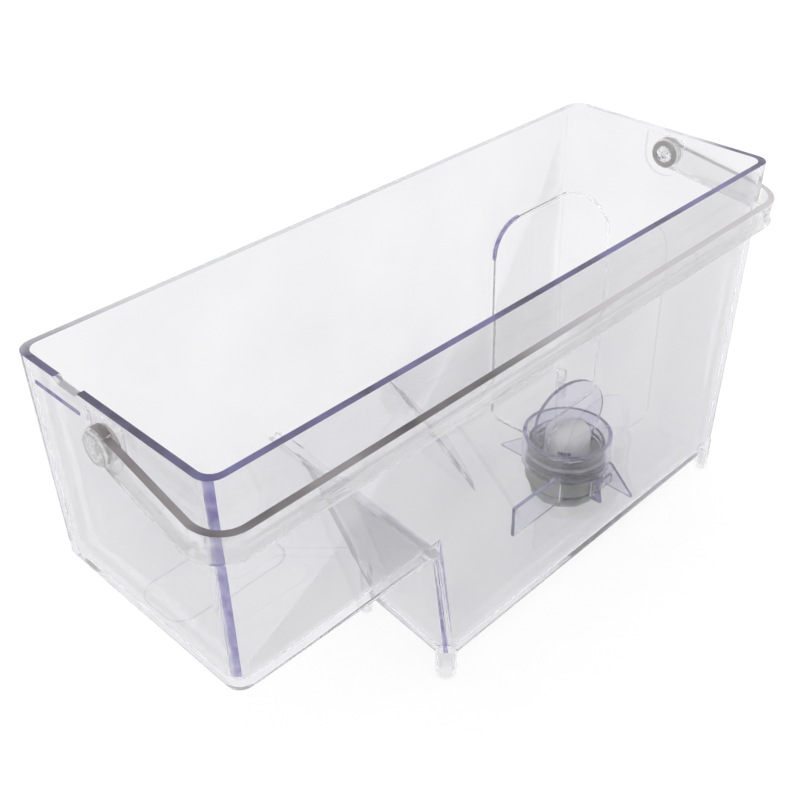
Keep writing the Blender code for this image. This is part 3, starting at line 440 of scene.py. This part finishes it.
pieceLooks = {
    "tank_body": ("tankShell", "tank", "clear_tank", clearTank, {
        "edge": 0.00035,
        # the rim tops take painted dark violet shade, the inside of the front left corner painted violet
        # shade, and the step wall's corner and the relief panel's edge painted pale violet shade
        "painted": [
            (rimPaintedShade, lookingUp(tankHigh.z)),
            (violetPaintedEdgeShade, leftCorner),
            *((palePaintedEdgeShade, corner) for corner in stepCorner),
            (palePaintedEdgeShade, archEdge),
        ],
    }),
    # the handle's upward faces take painted dark grey shade
    "carry_handle": ("handleStrip", "handle", "clear_handle", clearHandle, {
        "edge": 0.0006, "segments": 3, "painted": [(handleTopPaintedShade, lookingUp())],
    }),
    "pivot_pin_left": ("snapPinLeft", "tank", "clear_handle", clearHandle, {"edge": 0.0004}),
    "pivot_pin_right": ("snapPinRight", "tank", "clear_handle", clearHandle, {"edge": 0.0004}),
    "pivot_washer_left": ("thrustWasherLeft", "tank", "natural_washer", naturalWasher, {"edge": 0.0002}),
    "pivot_washer_right": ("thrustWasherRight", "tank", "natural_washer", naturalWasher, {"edge": 0.0002}),
    "valve_housing": ("housingBody", "tank", "grey_housing", greyHousing, {"edge": 0.0003}),
    "housing_gasket": ("gasketRing", "tank", "seal_rubber", sealRubber, {"edge": 0.0003}),
    "lock_nut": ("clampNut", "tank", "grey_housing", greyHousing, {"edge": 0.0004, "sharp": 25}),
    "outlet_seal": ("outletLip", "tank", "seal_rubber", sealRubber, {"edge": 0.0003}),
    "valve_poppet": ("poppetStem", "poppet", "white_strainer", whiteStrainer, {"edge": 0.0002}),
    "poppet_seal": ("poppetRing", "poppet", "seal_rubber", sealRubber, {"edge": 0.0002}),
    "spring_bridge": ("bridgeDisc", "tank", "white_strainer", whiteStrainer, {"edge": 0.0002}),
    # the collar's upward faces and its fins' narrow edges take painted violet shade
    "valve_collar": ("collarRing", "tank", "clear_valve", clearValve, {
        "edge": 0.0003, "painted": [(violetPaintedEdgeShade, lookingUp()), (violetPaintedEdgeShade, finEdges)],
    }),
    "collar_seal": ("collarRubber", "tank", "seal_rubber", sealRubber, {"edge": 0.0003}),
    # the grip disc's rim faces take painted violet shade
    "filter_grip": ("gripInsert", "filter_insert", "clear_valve", clearValve, {
        "edge": 0.0003, "painted": [(violetPaintedEdgeShade, discEdge)],
    }),
    "insert_seal": ("insertRubber", "filter_insert", "seal_rubber", paleSilicone, {"edge": 0.0002}),
    "strainer_dome": ("domeCap", "filter_insert", "white_strainer", whiteStrainer, {"edge": 0.0003}),
    "strainer_sleeve": ("domeSleeve", "filter_insert", "spring_steel", springSteel, {}),
    "return_spring": ("springCoil", "tank", "spring_steel", springSteel, {}),
}
pieces = {}
for nodeName, (pieceName, body, slot, material, look) in pieceLooks.items():
    pieces[nodeName] = softened(nodeName, pieceName, body, material, look)
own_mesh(pieces["return_spring"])
print("pieces made:", len(pieces))


def lowRidge(pieceName, corners, look):
    # a low moulded ridge that follows a rounded rectangle; corners are its low and high point on the
    # plane it stands on. Each corner is a quarter circle: centre + radius * (cos, sin) of the angle.
    # The section is a trapezoid, wide at its foot and narrower at its top, and the last ring meets the first
    (u0, v0), (u1, v1) = corners
    radius = look["radius"]
    angle = np.linspace(0, math.pi / 2, look["steps"])
    right, left, far, near = u1 - radius, u0 + radius, v1 - radius, v0 + radius
    centres = [(right, far), (left, far), (left, near), (right, near)]
    turns = [angle + quarter * math.pi / 2 for quarter in range(4)]
    out = np.concatenate([np.stack([np.cos(turn), np.sin(turn)], 1) for turn in turns])
    base = np.concatenate([np.tile(centre, (len(angle), 1)) for centre in centres]) + out * radius
    half = look["width"] / 2
    top = half * look["topShare"]
    rings = [(-half, 0.0), (-top, look["height"]), (top, look["height"]), (half, 0.0)]
    layers = [np.column_stack([base + out * shift, np.full(len(base), lift)]) for shift, lift in rings]
    points = np.concatenate(layers)
    count = len(base)
    ring = np.arange(count)
    after = (ring + 1) % count
    faces = np.concatenate([
        np.column_stack([
            ring + count * layer, after + count * layer,
            after + count * ((layer + 1) % 4), ring + count * ((layer + 1) % 4),
        ])
        for layer in range(4)
    ])
    points = points @ np.array(look["frame"]) + np.array(look["origin"])
    data = bpy.data.meshes.new(pieceName)
    data.from_pydata(points.tolist(), [], faces[:, ::-1].tolist())
    data.materials.append(look["material"])
    piece = bpy.data.objects.new(pieceName, data)
    bpy.context.scene.collection.objects.link(piece)
    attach(piece, "tank")


ridgeLook = {"width": 0.0009, "height": 0.0003, "topShare": 0.6, "steps": 8}
floorLook = {"from": (0.008, 0.043), "to": (0.062, 0.070), "depth": 0.09605}  # depth: rim to its foot
lowRidge("floorOutlineRidge", (floorLook["from"], floorLook["to"]), dict(
    ridgeLook, radius=0.008, material=clearTank,
    frame=((1, 0, 0), (0, 1, 0), (0, 0, 1)),  # lies on the shallow floor, looking up
    origin=(wallX, tankLow.y, tankHigh.z - floorLook["depth"]),
))
fillLook = {"from": (-0.100, 0.0), "to": (-0.072, 0.0011), "depth": 0.0092, "sunk": 0.0002}
# the fill line ridge is coloured with painted pale violet shade
lowRidge("fillLineRidge", (fillLook["from"], fillLook["to"]), dict(
    ridgeLook, radius=0.0005, width=0.0008, material=palePaintedEdgeShade,
    frame=((0, -1, 0), (0, 0, 1), (-1, 0, 0)),  # stands on the left end's outer wall, run from the back
    origin=(wallX + fillLook["sunk"], tankLow.y, tankHigh.z - fillLook["depth"]),
))
print("ridges made")

# a plain pale floor that glows a little, under an even white sky, so nothing casts a hard shadow
stageLook = {
    "white": "FFFFFF", "paper": "808080", "glow": 0.82, "rough": 0.9, "gloss": 0.1,
    "floorSize": 12.0, "skyStrength": 1.0,
}
floorData = bpy.data.meshes.new("floor")
half = stageLook["floorSize"] / 2
floorCorners = [(-half, -half, 0), (half, -half, 0), (half, half, 0), (-half, half, 0)]
floorData.from_pydata(floorCorners, [], [(0, 1, 2, 3)])
floor = bpy.data.objects.new("floor", floorData)
bpy.context.scene.collection.objects.link(floor)
paper, tree, shader = newMaterial("paperBackdropMatt")
shader.inputs["Base Color"].default_value = hexColour(stageLook["paper"])
shader.inputs["Emission Color"].default_value = hexColour(stageLook["white"])
shader.inputs["Emission Strength"].default_value = stageLook["glow"]
shader.inputs["Roughness"].default_value = stageLook["rough"]
shader.inputs["Specular IOR Level"].default_value = stageLook["gloss"]
floorData.materials.append(paper)

world = bpy.data.worlds.new("softStudio")
world.use_nodes = True
bpy.context.scene.world = world
sky = world.node_tree.nodes["Background"]
sky.inputs["Color"].default_value = hexColour(stageLook["white"])
sky.inputs["Strength"].default_value = stageLook["skyStrength"]

# seen from in front and to the left, looking down at the tank from about 40 centimetres up
cameraLook = {
    "place": (-0.30893, -0.27854, 0.39717),
    "turnDegrees": (54.764, 0.709, -45.526),
    "lensMm": 50.987,
    "sensorMm": 36.0,
    "nearest": 0.01,
}
cameraData = bpy.data.cameras.new("mainCamera")
cameraData.lens = cameraLook["lensMm"]
cameraData.sensor_width = cameraLook["sensorMm"]
cameraData.clip_start = cameraLook["nearest"]
camera = bpy.data.objects.new("mainCamera", cameraData)
camera.location = cameraLook["place"]
camera.rotation_euler = [math.radians(v) for v in cameraLook["turnDegrees"]]
bpy.context.scene.collection.objects.link(camera)
bpy.context.scene.camera = camera
bpy.context.scene.view_settings.view_transform = "Standard"
print("stage ready")
